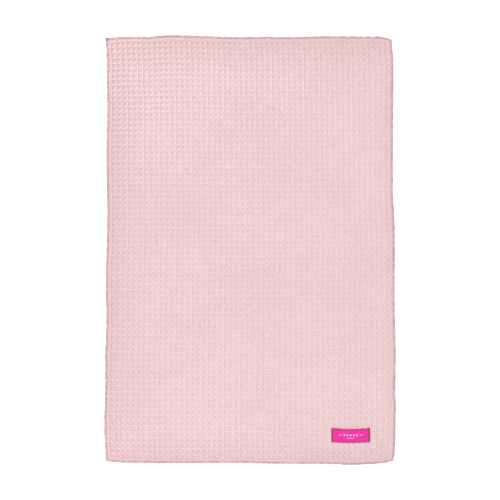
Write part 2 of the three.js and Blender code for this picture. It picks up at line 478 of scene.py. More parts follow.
def new_mesh(name, points, faces, edges=()):
    """A new mesh of these points and faces."""
    mesh = bpy.data.meshes.new(name)
    mesh.from_pydata(points, edges, faces)
    return mesh


def discard(piece):
    """Removes a piece that only the making needed, and its mesh."""
    mesh = piece.data
    bpy.data.objects.remove(piece)
    bpy.data.meshes.remove(mesh)


def points_of(mesh):
    """A mesh's vertices as rows of x, y and z."""
    found = np.empty(len(mesh.vertices) * 3, np.float32)
    mesh.vertices.foreach_get("co", found)
    return found.reshape(-1, 3).astype(float)


def rows_of(*columns):
    """Rows made of these columns, of which each is an array that fits the others or one number."""
    return np.stack([column.ravel() for column in np.broadcast_arrays(*columns)], 1)


def grid_faces(numbers):
    """The faces between a grid of numbered points."""
    return np.stack([numbers[:-1, :-1], numbers[:-1, 1:], numbers[1:, 1:], numbers[1:, :-1]],
                    -1).reshape(-1, 4)


def band(inner, outer):
    """The faces between two closed loops of numbered points."""
    return np.stack([inner, outer, np.roll(outer, -1), np.roll(inner, -1)], 1)


def rim_order(columns, rows):
    """The numbers of a grid's outermost points, anticlockwise from its first corner."""
    number = np.arange(columns * rows).reshape(rows, columns)
    return np.r_[number[0, :-1], number[:-1, -1], number[-1, :0:-1], number[:0:-1, 0]]


def mark(mesh, name, values, kind="FLOAT", domain="POINT"):
    """Adds a named attribute to a mesh."""
    attribute = mesh.attributes.new(name, kind, domain)
    values = np.asarray(values, bool if kind == "BOOLEAN" else np.float32)
    attribute.data.foreach_set("vector" if kind == "FLOAT_VECTOR" else "value", values.ravel())


def unmark(mesh, *names):
    """Takes away attributes that only the making needed."""
    for name in names:
        mesh.attributes.remove(mesh.attributes[name])


def face_facts(mesh):
    """For each face corner: its vertex, and whether its face looks down."""
    vertex = np.empty(len(mesh.loops), np.int32)
    mesh.loops.foreach_get("vertex_index", vertex)
    corners = np.empty(len(mesh.polygons), np.int32)
    mesh.polygons.foreach_get("loop_total", corners)
    normals = np.empty(len(mesh.polygons) * 3, np.float32)
    mesh.polygons.foreach_get("normal", normals)
    return vertex, np.repeat(normals[2::3] < 0, corners)


def add_map(mesh, name, across, up):
    """Adds a map that gives each face corner its place across and up."""
    corners = mesh.uv_layers.new(name=name)
    corners.data.foreach_set("uv", np.stack([across, up], 1).astype(np.float32).ravel())


def add_flat_map(mesh):
    """Adds a map on which the faces that look up and those that look down lie side by side, each
    as seen straight from above."""
    vertex, looks_down = face_facts(mesh)
    x, y = points_of(mesh)[vertex, :2].T
    scale = (1 - 2 * MAP_MARGIN) / max(2 * WIDTH, LENGTH)
    across = MAP_MARGIN + (x + WIDTH / 2) * scale + 0.5 * looks_down
    add_map(mesh, "OFBake", across, MAP_MARGIN + (y + LENGTH / 2) * scale)


def lay_down(piece, cloth):
    """Lays a piece of the straight sheet down as the towel lies."""
    mesh = piece.data
    points = laid(points_of(mesh), cloth)
    mesh.vertices.foreach_set("co", points.astype(np.float32).ravel())
    mesh.update()
    add_flat_map(mesh)


def made_plain(piece, modifier):
    """Leaves a piece with the plain mesh that its modifier makes."""
    seen = bpy.context.evaluated_depsgraph_get()
    mesh = bpy.data.meshes.new_from_object(
        piece.evaluated_get(seen), preserve_all_data_layers=True, depsgraph=seen)
    piece.modifiers.remove(modifier)
    before = piece.data
    piece.data = mesh
    mesh.name = piece.name
    bpy.data.meshes.remove(before)
    return mesh


def grown(piece, tree, values):
    """Runs a Geometry Nodes tree on a piece and leaves it with the plain mesh that results."""
    modifier = piece.modifiers.new(tree.name, "NODES")
    modifier.node_group = tree
    for item in tree.interface.items_tree:
        if item.in_out == "INPUT" and item.name in values:
            modifier[item.identifier] = values[item.name]
    return made_plain(piece, modifier)


# Small helpers for node trees


class Field:
    """What comes out of a node: a shape, or a number that varies and can be part of a sum."""

    def __init__(self, socket):
        self.socket = socket
        self.tree = socket.id_data

    def __add__(self, other):
        return maths("ADD", self, other)

    def __sub__(self, other):
        return maths("SUBTRACT", self, other)

    def __rsub__(self, other):
        return maths("SUBTRACT", other, self)

    def __mul__(self, other):
        return maths("MULTIPLY", self, other)

    def __truediv__(self, other):
        return maths("DIVIDE", self, other)

    def __pow__(self, other):
        return maths("POWER", self, other)

    def __abs__(self):
        return maths("ABSOLUTE", self)

    def __lt__(self, other):
        return maths("LESS_THAN", self, other)

    def __gt__(self, other):
        return maths("GREATER_THAN", self, other)

    def clamped(self):
        """The same, kept between 0 and 1 by its own node."""
        self.socket.node.use_clamp = True
        return self


def add_node(tree, kind, inputs=None, **settings):
    """Adds a node with these settings, and feeds the inputs named or numbered."""
    node = tree.nodes.new(kind)
    for name, value in settings.items():
        setattr(node, name, value)
    for name, value in (inputs or {}).items():
        feed(node.inputs[name], value)
    return node


def feed(socket, value):
    """Feeds a socket from a field, or sets its value."""
    if isinstance(value, Field):
        value.tree.links.new(value.socket, socket)
    else:
        socket.default_value = value


def field(tree, kind, inputs=None, output=0, **settings):
    """Adds a node and gives what comes out of it."""
    return Field(add_node(tree, kind, inputs, **settings).outputs[output])


def fields(node):
    """All that comes out of a node, by name."""
    return {socket.name: Field(socket) for socket in node.outputs}


def maths(operation, *values):
    """A Math node's result, for values of which one at least is a field."""
    tree = next(value.tree for value in values if isinstance(value, Field))
    return field(tree, "ShaderNodeMath", dict(enumerate(values)), operation=operation)


def noise(place, scale, detail):
    """Noise of about this many patches a metre."""
    return field(place.tree, "ShaderNodeTexNoise", {
        "Vector": place, "Scale": scale, "Detail": detail})


def stretched(value):
    """Noise stretched over the whole range from 0 to 1, as most of it lies near its middle."""
    return field(value.tree, "ShaderNodeMapRange", {
        "Value": value, "From Min": 0.4, "From Max": 0.6})


def object_place(tree):
    """The place on the piece, in metres."""
    return field(tree, "ShaderNodeTexCoord", output="Object")


def map_parts(tree, name):
    """The two coordinates of a piece's map."""
    place = field(tree, "ShaderNodeUVMap", uv_map=name)
    parts = fields(add_node(tree, "ShaderNodeSeparateXYZ", {"Vector": place}))
    return parts["X"], parts["Y"]


def marked(tree, name):
    """A number that the piece's attribute of this name holds."""
    return field(tree, "ShaderNodeAttribute", output="Fac", attribute_name=name)


SOCKET_KINDS = {bool: "Bool", int: "Int", float: "Float"}


def new_tree(name, tree_kind, inputs):
    """A node group, and its inputs by name: each is given its value, or what kind it is."""
    tree = bpy.data.node_groups.new(name, tree_kind)
    for label, value in inputs.items():
        kind = value if isinstance(value, str) else SOCKET_KINDS[type(value)]
        socket = tree.interface.new_socket(
            label, in_out="INPUT", socket_type="NodeSocket" + kind)
        if not isinstance(value, str):
            socket.default_value = value
    return tree, fields(add_node(tree, "NodeGroupInput"))


def finished_tree(tree, outputs):
    """Gives a node group its outputs: a shape from Geometry Nodes, or numbers."""
    kind = "Geometry" if tree.bl_idname == "GeometryNodeTree" else "Float"
    for label in outputs:
        tree.interface.new_socket(label, in_out="OUTPUT", socket_type="NodeSocket" + kind)
    add_node(tree, "NodeGroupOutput", outputs)
    return tree


def built_once(name):
    """Marks the builder of a node group that pieces share, so that it is built only once."""
    def wrap(build):
        return lambda: bpy.data.node_groups.get(name) or build(name)
    return wrap


# Parts that Geometry Nodes trees share


def held(tree, name, kind="FLOAT"):
    """What each point or face holds under this name."""
    return field(tree, "GeometryNodeInputNamedAttribute", {"Name": name}, "Attribute",
                 data_type=kind)


def holding(shape, name, value, **inputs):
    """A shape whose points, or those chosen, hold a number under this name."""
    return field(shape.tree, "GeometryNodeStoreNamedAttribute", {
        "Geometry": shape, **inputs, "Name": name, "Value": value},
        data_type="FLOAT", domain="POINT")


def random_number(seed):
    """A number from 0 to 1 for each point."""
    return field(seed.tree, "FunctionNodeRandomValue", {"Seed": seed}, 1, data_type="FLOAT")


def copied(points, unit, **inputs):
    """A copy of an object's shape at each point."""
    shape = field(points.tree, "GeometryNodeObjectInfo", {"Object": unit}, "Geometry")
    return field(points.tree, "GeometryNodeInstanceOnPoints", {
        "Points": points, "Instance": shape, **inputs})


def made_real(copies, material):
    """One real mesh of this material, made of the copies."""
    real = field(copies.tree, "GeometryNodeRealizeInstances", {"Geometry": copies})
    return field(copies.tree, "GeometryNodeSetMaterial", {
        "Geometry": real, "Material": material})


# Shared shader groups


@built_once("Cotton fibre")
def fibre_group(name):
    """Loose cotton fibre, from the place on the piece: an uneven tone, a fine nap, and patches
    of a warmer and of a lighter colour."""
    tree, given = new_tree(name, "ShaderNodeTree", {"Broad tone": 0.5})
    place = object_place(tree)
    share = given["Broad tone"]
    return finished_tree(tree, {
        "Tone": noise(place, 9, 3) * share + noise(place, 850, 1) * (1 - share),
        "Height": noise(place, 4200, 2),
        "Warmth": noise(place, 90, 2),
        "Drift": stretched(noise(place, 210, 2)),
    })


@built_once("Thread twist")
def twist_group(name):
    """The twist of a spun yarn or a sewing thread, from a map of along and around it."""
    tree, given = new_tree(name, "ShaderNodeTree", {"Turns": 4.0})
    along, around = map_parts(tree, "yarn")
    turn = along * given["Turns"] + around * 2
    height = maths("SINE", turn * (2 * math.pi)) * 0.5 + 0.5
    return finished_tree(tree, {"Height": height, "Groove": (1 - height) ** 3})


@built_once("Waffle yarns")
def waffle_group(name):
    """The yarns of the waffle weave, from a map whose whole numbers lie on the ridges: yarns run
    along the ridge on each wall of a pit."""
    tree, given = new_tree(name, "ShaderNodeTree", {"Threads": float(THREADS_PER_CELL)})
    reach = []
    gap = []
    for cells in map_parts(tree, "weave"):
        reach.append(abs(maths("FRACT", cells) - 0.5))
        gap.append(abs(maths("FRACT", cells * given["Threads"] + 0.5) - 0.5) * 2)
    chosen = field(tree, "ShaderNodeMix", {
        "Factor": reach[0] > reach[1], "A": gap[1], "B": gap[0]})
    return finished_tree(tree, {
        "Height": 1 - chosen ** 2,
        "Groove": chosen ** 3,
        "Pit": 1 - maths("MAXIMUM", *reach) * 2,
    })


@built_once("Satin ribbon")
def satin_group(name):
    """A satin ribbon's fine ribs and its woven motif, from a map in millimetres from the
    ribbon's middle: a row of small lozenges between two short bars, and a line below it."""
    tree, given = new_tree(name, "ShaderNodeTree", {
        "Lozenge spacing": 4.4, "Lozenge size": 1.6, "Half row": 11.0, "Row height": 1.0,
        "Line height": -3.2, "Half line": 5.0, "Ribs": 3.2})
    x, y = map_parts(tree, "ribbon")
    spacing = given["Lozenge spacing"]
    half_row = given["Half row"]
    from_middle = abs((maths("FRACT", x / spacing + 0.5) - 0.5) * spacing)
    far = abs(x)
    up = abs(y - given["Row height"])
    lozenges = (from_middle + up < given["Lozenge size"]) * (far < half_row)
    bars = (far > half_row + BAR_START) * (far < half_row + BAR_END) * (up < HALF_STROKE)
    line = (abs(y - given["Line height"]) < HALF_STROKE) * (far < given["Half line"])
    ribs = maths("SINE", y * given["Ribs"] * (2 * math.pi))
    picks = maths("SINE", x * PICKS)
    return finished_tree(tree, {
        "Motif": maths("MAXIMUM", maths("MAXIMUM", lozenges, bars), line),
        "Height": ribs + picks * PICK_HEIGHT,
    })


# Materials


def new_material(name, constants):
    """A material, its tree, and its Principled shader with these constant values."""
    material = bpy.data.materials.new(name)
    material.use_nodes = True
    shader = material.node_tree.nodes["Principled BSDF"]
    for label, value in constants.items():
        shader.inputs[label].default_value = value
    return material, material.node_tree, shader


def use_group(tree, group, inputs=None):
    """Places a shared shader group in a material, and gives what comes out of it by name."""
    return fields(add_node(tree, "ShaderNodeGroup", inputs, node_tree=group))


def mixed_colour(share, *colours):
    """A colour between two, by a share that varies over the surface."""
    first, second = (c if isinstance(c, Field) else (*c, 1) for c in colours)
    return field(share.tree, "ShaderNodeMix", {0: share, 6: first, 7: second}, 2,
                 data_type="RGBA")


def dimmed(colour, share):
    """A share of a colour's light."""
    return tuple(share * value for value in colour)


def dress(shader, colour, height, strength, distance):
    """Feeds a shader's colour, and its normal from a height."""
    feed(shader.inputs["Base Color"], colour)
    feed(shader.inputs["Normal"], field(shader.id_data, "ShaderNodeBump", {
        "Height": height, "Strength": strength, "Distance": distance}))


def cotton_colour(cloth, fibre, share):
    """The cotton's colour: deeper by a share, which holds painted shade, by loose fibre, and by
    painted shade in the margins, and a little warmer in some patches than in others."""
    uneven = (fibre["Tone"] - 0.5) * FIBRE_TONE
    share = (share + uneven + marked(share.tree, "margin") * MARGIN_SHADE).clamped()
    red, green, blue = cloth.pale
    cool = (red, green * (1 - WARMTH), blue * (1 + WARMTH))
    warm = (red, green * (1 + WARMTH), blue * (1 - WARMTH))
    return mixed_colour(share, mixed_colour(fibre["Warmth"], cool, warm), cloth.deep)


def make_cloth_material(cloth, edge):
    """The waffle cloth between its floating yarns, with the thread that wraps its rim, and painted
    shade in the grooves between its yarns and on its pits' walls, less at their bottom.
    """
    material, tree, shader = new_material("waffle_cloth", COTTON)
    fibre = use_group(tree, fibre_group(), {"Broad tone": 0.25})
    waffle = use_group(tree, waffle_group())
    # Painted shade in the grooves between the yarns and on the pits' walls, less at their bottom
    share = waffle["Groove"] * GROOVE_SHADE + (WALL_SHADE - waffle["Pit"] * PIT_SHADE_LOSS)
    colour = mixed_colour(
        marked(tree, "covered"), cotton_colour(cloth, fibre, share),
        mixed_colour(fibre["Drift"], edge.colour, edge.light))
    dress(shader, colour, waffle["Height"] + fibre["Height"] * 0.3,
          strength=0.7, distance=0.25 * MM)
    return material


def make_yarn_material(name, cloth, painted_shade, turns):
    """Cotton yarn where it floats on the face, deeper by painted shade, with painted shade in the
    grooves of its twist and this many turns of twist in a float."""
    material, tree, shader = new_material(name, COTTON)
    fibre = use_group(tree, fibre_group(), {"Broad tone": 0.25})
    twist = use_group(tree, twist_group(), {"Turns": turns})
    # Painted shade in the grooves of the twist and by the yarn's own share; tone at random from yarn
    # to yarn
    share = twist["Groove"] * TWIST_SHADE + painted_shade + marked(tree, "tone") * YARN_TONE
    dress(shader, cotton_colour(cloth, fibre, share),
          twist["Height"] + fibre["Height"] * 0.5, strength=0.5, distance=0.12 * MM)
    return material


def make_thread_material(name, dark, light, turns):
    """Spun polyester sewing thread, a little glossier than the cloth, with painted shade in the
    grooves of its twist.
    """
    material, tree, shader = new_material(name, THREAD)
    drift = use_group(tree, fibre_group())["Drift"]
    twist = use_group(tree, twist_group(), {"Turns": turns})
    lighter = marked(tree, "tone") * 0.5 + (drift * 0.5 + 0.1)
    # Painted shade in the grooves of the twist
    share = (lighter - twist["Groove"] * 0.5).clamped()
    dress(shader, mixed_colour(share, dark, light), twist["Height"],
          strength=0.6, distance=0.08 * MM)
    return material


def make_satin_material(label):
    """Woven satin ribbon with its motif, with painted shade where its ends and sides turn down."""
    material, tree, shader = new_material("label_satin", SATIN)
    satin = use_group(tree, satin_group())
    fibre = use_group(tree, fibre_group(), {"Broad tone": 0.3})
    share = (marked(tree, "worn") + (fibre["Tone"] - 0.5) * 0.4).clamped()
    ground = mixed_colour(share, label.satin, dimmed(label.satin, SATIN_SHADE))
    dress(shader, mixed_colour(satin["Motif"] * MOTIF_COVER, ground, label.motif),
          satin["Height"] + satin["Motif"] * 1.5, strength=0.35, distance=0.06 * MM)
    return material


def make_floor_material(stage):
    """Plain pale floor with a little light of its own."""
    material, tree, shader = new_material("studio_floor", {
        "Roughness": 0.9, "Specular IOR Level": 0.1, "Emission Strength": stage.glow,
        "Emission Color": (1, 1, 1, 1)})
    share = noise(object_place(tree), 2, 2) * 0.1
    feed(shader.inputs["Base Color"], mixed_colour(
        share, stage.floor, dimmed(stage.floor, FLOOR_SHADE)))
    return material


# The cloth


def grid_lines():
    """The lines of the grid of cells on the straight sheet: columns and rows on the face, whose
    ridges they are, and on the back, half a cell away. The outermost are at the seam."""
    side, end = WIDTH / 2 - SEAM_INSET, LENGTH / 2 - SEAM_INSET
    columns = -WIDTH / 2 + (LEFT_PART + np.arange(RIDGES_ACROSS)) * CELL_WIDE
    rows = LENGTH / 2 - (TOP_PART + np.arange(RIDGES_ALONG)[::-1]) * CELL_TALL
    return (
        np.r_[-side, columns, side],
        np.r_[-end, rows, end],
        np.r_[-side, columns - CELL_WIDE / 2, side],
        np.r_[-end, rows + CELL_TALL / 2, end],
    )


def middles(lines):
    """The places halfway from each line to the next."""
    return (lines[1:] + lines[:-1]) / 2


def cell_sizes(columns, rows):
    """Each cell's narrower side as a share of a whole cell's, row by row."""
    wide = np.diff(columns)[None, :] / CELL_WIDE
    tall = np.diff(rows)[:, None] / CELL_TALL
    return np.clip(np.minimum(wide, tall), 0, 1)


def near_label(x, y, margin):
    """How near the label each place of the straight sheet is: 1 under it and within half a margin
    of it, and 0 one and a half margins away."""
    move_x, move_y = outline_shift(x, y)
    x, y = x + move_x - centre_shift[0], y + move_y - centre_shift[1]
    beside_x = np.maximum(label_low.x - x, x - label_high.x)
    beside_y = np.maximum(label_low.y - y, y - label_high.y)
    return np.clip(1.5 - np.maximum(beside_x, beside_y) / margin, 0, 1)


def face_depths(cloth):
    """How deep the pit of each cell on the face is, row by row: unevenly so, and pressed flatter
    under the sewn label and beside it."""
    columns, rows = grid_lines()[:2]
    size = cell_sizes(columns, rows)
    part = np.where(size > WHOLE_CELL, 1, PART_CELL_DEPTH * size)
    uneven = np.random.default_rng(SEED + 1).normal(size=size.shape).clip(-2, 2)
    depths = cloth.depth * (1 + UNEVEN_DEPTH * uneven) * part * (size > LEAST_CELL)
    x, y = np.meshgrid(middles(columns), middles(rows))
    return depths * (1 - PRESSED_SHARE * near_label(x, y, PRESSED_MARGIN))


def back_depths(cloth):
    """The same on the back, where the outermost pits are shallower."""
    size = cell_sizes(*grid_lines()[2:])
    part = np.where(size > WHOLE_CELL, 1, PART_CELL_BACK_DEPTH * size**1.5)
    depths = cloth.back_depth * part * (size > LEAST_CELL)
    depths[:, [0, -1]] *= RIM_BACK_DEPTH
    depths[[0, -1], :] *= RIM_BACK_DEPTH
    return depths


def make_cage(cloth):
    """The straight sheet as a closed mesh of whole cells, whose pits are still level. Each face
    says how deep its pit is, less than nothing where it opens down."""
    face_columns, face_rows, back_columns, back_rows = grid_lines()
    across, up = len(face_columns), len(face_rows)
    order = rim_order(across, up)

    def grid(columns, rows, inner, rim):
        x, y = np.meshgrid(columns, rows)
        z = np.full(x.size, float(inner))
        z[order] = rim
        return np.stack([x.ravel(), y.ravel(), z], 1)

    points = [grid(face_columns, face_rows, cloth.crest, SEAM_FACE)]
    loops = [order]
    for step, turn in enumerate(CORE_TURNS, 1):
        inset = CORE_INSET - CORE_HALF_WIDTH * math.cos(math.radians(turn))
        height = CORE_HEIGHT + CORE_HALF_HEIGHT * math.sin(math.radians(turn))
        share = step / (len(CORE_TURNS) + 1)
        columns = (1 - share) * face_columns + share * back_columns
        rows = (1 - share) * face_rows + share * back_rows
        columns[[0, -1]] = [inset - WIDTH / 2, WIDTH / 2 - inset]
        rows[[0, -1]] = [inset - LENGTH / 2, LENGTH / 2 - inset]
        loops.append(np.arange(len(order)) + sum(map(len, points)))
        points.append(grid(columns, rows, height, height)[order])
    loops.append(order + sum(map(len, points)))
    points.append(grid(back_columns, back_rows, 0, 0))

    upward = grid_faces(np.arange(across * up).reshape(up, across))
    downward = upward[:, ::-1] + sum(map(len, points[:-1]))
    bands = np.concatenate([band(inner, outer) for inner, outer in zip(loops, loops[1:])])
    mesh = new_mesh("towel_cloth", np.concatenate(points),
                    np.concatenate([upward, bands, downward]))
    mark(mesh, "sink", np.r_[
        face_depths(cloth).ravel(), np.zeros(len(bands)), -back_depths(cloth).ravel()],
        domain="FACE")
    return mesh


def pit_tree(name, rings):
    """Sinks a pit of several rings into each face, as deep as its attribute says."""
    inputs = {"Geometry": "Geometry"}
    for number, (size, drop) in enumerate(rings, 1):
        inputs[f"Ring {number} size"] = size
        inputs[f"Ring {number} drop"] = drop
    tree, given = new_tree(name, "GeometryNodeTree", {**inputs, "Opens down": False})
    depth = held(tree, "sink")
    chosen = field(tree, "GeometryNodeSwitch", {
        "Switch": given["Opens down"], "False": depth > LEAST_DEPTH,
        "True": depth < -LEAST_DEPTH}, input_type="FLOAT")
    shape = given["Geometry"]
    size_before, drop_before = 1.0, 0.0
    for number in range(1, len(rings) + 1):
        size, drop = given[f"Ring {number} size"], given[f"Ring {number} drop"]
        ring = fields(add_node(tree, "GeometryNodeExtrudeMesh", {
            "Mesh": shape, "Selection": chosen, "Offset Scale": 0.0, "Individual": True},
            mode="FACES"))
        chosen = ring["Top"]
        shrunk = field(tree, "GeometryNodeScaleElements", {
            "Geometry": ring["Mesh"], "Selection": chosen, "Scale": size / size_before},
            domain="FACE")
        fall = field(tree, "ShaderNodeCombineXYZ", {"Z": depth * (drop_before - drop)})
        sunk = field(tree, "GeometryNodeSetPosition", {
            "Geometry": shrunk, "Selection": chosen, "Offset": fall})
        shape = holding(sunk, "ring", float(number), Selection=chosen)
        size_before, drop_before = size, drop
    return finished_tree(tree, {"Geometry": shape})


def add_weave_map(mesh):
    """Adds a map of cells across and down, with whole numbers on the ridges of its own side."""
    vertex, looks_down = face_facts(mesh)
    column, row = cell_place(*points_of(mesh)[vertex, :2].T)
    add_map(mesh, "weave", column + 0.5 * looks_down, row + 0.5 * looks_down)


def mark_shade_and_cover(mesh):
    """Says how much painted shade deepens each point's colour, from 1 at the straight sheet's edge
    to 0 well inside, and up to a half beside the label, and how far the overlocking covers it."""
    x, y, _ = points_of(mesh).T
    distances = [WIDTH / 2 + x, WIDTH / 2 - x, LENGTH / 2 - y, LENGTH / 2 + y]
    near = np.max([np.clip(1 - distance / margin, 0, 1) ** 2
                   for distance, margin in zip(distances, SHADED_MARGINS)], axis=0)
    # Painted shade near the sheet's edges and beside the label
    mark(mesh, "margin", np.maximum(near, 0.5 * near_label(x, y, SHADED_LABEL_MARGIN)))
    inside = np.min(distances, axis=0)
    mark(mesh, "covered", np.where(inside < SEAM_INSET - COVER_SEAM, 1, np.clip(
        COVER_START - (inside - SEAM_INSET) / COVER_FADE, 0, 1)))


def crease_corners(mesh):
    """Leaves the pits' sloping corners crisp, where walls of upright and level yarns meet."""
    rings = np.empty(len(mesh.vertices), np.float32)
    mesh.attributes["ring"].data.foreach_get("value", rings)
    ends = np.empty(len(mesh.edges) * 2, np.int32)
    mesh.edges.foreach_get("vertices", ends)
    first, second = rings[ends.reshape(-1, 2)].T
    mark(mesh, "sharp_edge", first != second, "BOOLEAN", "EDGE")


class TOWEL_OT_cloth(Operator):
    """Make the waffle cloth, with pits on its face and back and a rounded rim"""
    bl_idname = "towel.cloth"
    bl_label = "Waffle cloth"

    def execute(self, context):
        cloth = context.scene.towel_cloth
        piece = new_object("towel_cloth", make_cage(cloth))
        grown(piece, pit_tree("Face pits", FACE_RINGS), {"Opens down": False})
        mesh = grown(piece, pit_tree("Back pits", BACK_RINGS), {"Opens down": True})
        mesh.shade_smooth()
        crease_corners(mesh)
        add_weave_map(mesh)
        mark_shade_and_cover(mesh)
        lay_down(piece, cloth)
        unmark(mesh, "sink", "ring")
        mesh.materials.append(make_cloth_material(cloth, context.scene.towel_edge))
        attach(piece, BODY)
        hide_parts("towel")
        return {"FINISHED"}


# Yarns and threads


def thread_mesh(name, path, radii, sides, across=(0, 1, 0)):
    """A closed length of thread along a path, which ends in a point at both ends, with a map of
    along and around it. Its radii are one number or one for each place between its ends. The path
    never runs straight across."""
    path = np.array(path, float)
    radii = np.broadcast_to(radii, len(path) - 2)
    along = np.r_[0, np.cumsum(np.linalg.norm(np.diff(path, axis=0), axis=1))]
    along /= along[-1]
    points = [path[0]]
    for k in range(1, len(path) - 1):
        forward = path[k + 1] - path[k - 1]
        forward /= np.linalg.norm(forward)
        side = np.array(across) - forward @ across * forward
        side /= np.linalg.norm(side)
        upper = np.cross(forward, side)
        for turn in range(sides):
            angle = math.pi / 2 + 2 * math.pi * turn / sides
            points.append(path[k] + radii[k - 1] * (
                math.cos(angle) * side + math.sin(angle) * upper))
    points.append(path[-1])
    rings = len(path) - 2
    last = 1 + (rings - 1) * sides
    faces = []
    places = []
    for turn in range(sides):
        after = (turn + 1) % sides
        here, there = turn / sides, (turn + 1) / sides
        faces.append((0, 1 + after, 1 + turn))
        places += [(0, here), (along[1], there), (along[1], here)]
        for k in range(rings - 1):
            near, far = 1 + k * sides, 1 + (k + 1) * sides
            faces.append((near + turn, near + after, far + after, far + turn))
            places += [(along[k + 1], here), (along[k + 1], there),
                       (along[k + 2], there), (along[k + 2], here)]
        faces.append((last + turn, last + after, len(points) - 1))
        places += [(along[-2], here), (along[-2], there), (1, here)]
    mesh = new_mesh(name, points, faces)
    add_map(mesh, "yarn", *np.array(places).T)
    mesh.shade_smooth()
    return mesh


def float_mesh(name, sides, rings, blunt):
    """One yarn where it floats over others, of unit size: it arches up in the middle and its
    ends dive into the cloth. Blunt is the half length over which it keeps its thickness."""
    spots = np.linspace(-blunt, blunt, rings)
    path = [(-0.5, 0, -FLOAT_DIVE), *((x, 0, -FLOAT_DIVE * x**2) for x in spots),
            (0.5, 0, -FLOAT_DIVE)]
    return thread_mesh(name, path, [0.5 * (1 - FLOAT_TAPER * x**2) for x in spots], sides)


@built_once("Lay yarns")
def yarn_tree(name):
    """Puts a yarn at each point, turned and sized as the point's attributes say."""
    tree, given = new_tree(name, "GeometryNodeTree", {
        "Geometry": "Geometry", "Yarn": "Object", "Uneven": 0.04, "Seed": SEED,
        "Material": "Material"})
    turn = field(tree, "ShaderNodeCombineXYZ", {"X": held(tree, "tilt"), "Z": held(tree, "turn")})
    rotation = field(tree, "FunctionNodeEulerToRotation", {"Euler": turn})
    toned = holding(given["Geometry"], "tone", random_number(given["Seed"]))
    swell = random_number(given["Seed"] + 1) * (given["Uneven"] * 2)
    size = field(tree, "ShaderNodeVectorMath", {
        0: held(tree, "size", "FLOAT_VECTOR"), "Scale": (1 - given["Uneven"]) + swell},
        operation="SCALE")
    copies = copied(toned, given["Yarn"], Rotation=rotation, Scale=size)
    return finished_tree(tree, {"Geometry": made_real(copies, given["Material"])})


def laid_yarns(name, floats, shape, material):
    """One mesh of yarns on the straight sheet, from rows of place, turn about the vertical, tilt
    about the yarn itself, length, width and height."""
    mesh = new_mesh(name, floats[:, :3], [])
    mark(mesh, "turn", floats[:, 3])
    mark(mesh, "tilt", floats[:, 4])
    mark(mesh, "size", floats[:, 5:], "FLOAT_VECTOR")
    piece = new_object(name, mesh)
    unit = new_object(name + "_unit", shape)
    mesh = grown(piece, yarn_tree(), {"Yarn": unit, "Material": material, "Seed": SEED})
    discard(unit)
    unmark(mesh, "turn", "tilt", "size")
    return piece


def drop_at(share):
    """How far below the ridge the cloth's face is, as a share of the pit's depth, this share of
    the way from the pit's middle to the ridge."""
    sizes, drops = zip((1.0, 0.0), *FACE_RINGS, (0.0, FACE_RINGS[-1][1]))
    return float(np.interp(share, sizes[::-1], drops[::-1]))


def wall_floats(cloth, reach, length):
    """Rows for the floats on one level of every whole pit's four walls."""
    columns, rows = grid_lines()[:2]
    whole = cell_sizes(columns, rows) > WHOLE_CELL
    x, y = (places[whole] for places in np.meshgrid(middles(columns), middles(rows)))
    depths = face_depths(cloth)[whole]
    z = cloth.crest - depths * drop_at(reach) - FLOAT_SUNK * cloth.yarn_height
    slope = ((drop_at(reach - SLOPE_STEP) - drop_at(reach + SLOPE_STEP)) / (2 * SLOPE_STEP)
             * cloth.depth)
    found = []
    for way_x, way_y in ((1, 0), (-1, 0), (0, 1), (0, -1)):
        cell, beside = (CELL_WIDE, CELL_TALL) if way_x else (CELL_TALL, CELL_WIDE)
        found.append(rows_of(
            x + way_x * reach * CELL_WIDE / 2, y + way_y * reach * CELL_TALL / 2, z,
            math.pi / 2 if way_x else 0, math.atan2(slope, cell / 2) * (way_y - way_x),
            length * beside, cloth.yarn_width, WALL_FLATNESS * cloth.yarn_height))
    return np.concatenate(found)


def ridge_floats(cloth):
    """Rows for the longest floats, on the upright and the level ridges themselves. The outermost
    run down to the seam."""
    columns, rows = grid_lines()[:2]
    found = []
    for lines, others, cell, turn, length in (
            (rows, columns, CELL_TALL, math.pi / 2, UPRIGHT_LENGTH),
            (columns, rows, CELL_WIDE, 0, LEVEL_LENGTH)):
        spans = np.diff(lines)
        heights = np.full(len(spans), cloth.crest)
        heights[[0, -1]] = (cloth.crest + SEAM_FACE) / 2
        used = spans > LEAST_SPAN * cell
        along, across = middles(lines)[used], others[1:-1, None]
        x, y = (across, along) if turn else (along, across)
        found.append(rows_of(
            x, y, heights[used] - FLOAT_SUNK * cloth.yarn_height, turn, 0,
            np.minimum(spans[used], cell) * length, RIDGE_FULLNESS * cloth.yarn_width,
            cloth.yarn_height))
    return np.concatenate(found)


def crossing_floats(cloth):
    """Rows for the short floats where the ridges cross."""
    columns, rows = grid_lines()[:2]
    return rows_of(
        columns[1:-1], rows[1:-1, None], cloth.crest - CROSSING_SUNK * cloth.yarn_height,
        math.pi / 2, 0, CROSSING_LENGTH * CELL_TALL, CROSSING_FULLNESS * cloth.yarn_width,
        cloth.yarn_height)


class TOWEL_OT_yarns(Operator):
    """Lay the floating yarns on the ridges and on the walls of the pits"""
    bl_idname = "towel.yarns"
    bl_label = "Floating yarns"

    def execute(self, context):
        cloth = context.scene.towel_cloth
        # Name, how much painted shade deepens its colour, as where less light reaches, rows of
        # floats, a float's sides, rings and blunt half length, and its turns of twist
        for name, painted_shade, floats, form, turns in (
                ("ridge_yarns", 0, ridge_floats(cloth), (4, 3, 0.4), 4.0),
                ("slope_yarns", 0.6, wall_floats(cloth, **SLOPE_FLOATS), (3, 2, 0.36), 3.0),
                ("pit_yarns", 0.35, wall_floats(cloth, **PIT_FLOATS), (3, 2, 0.34), 2.0),
                ("crossing_yarns", 0, crossing_floats(cloth), (4, 3, 0.3), 1.0)):
            material = make_yarn_material(name, cloth, painted_shade, turns)
            piece = laid_yarns(name, floats, float_mesh(name + "_float", *form), material)
            mark_shade_and_cover(piece.data)
            lay_down(piece, cloth)
            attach(piece, BODY)
        return {"FINISHED"}


# The overlocked edge


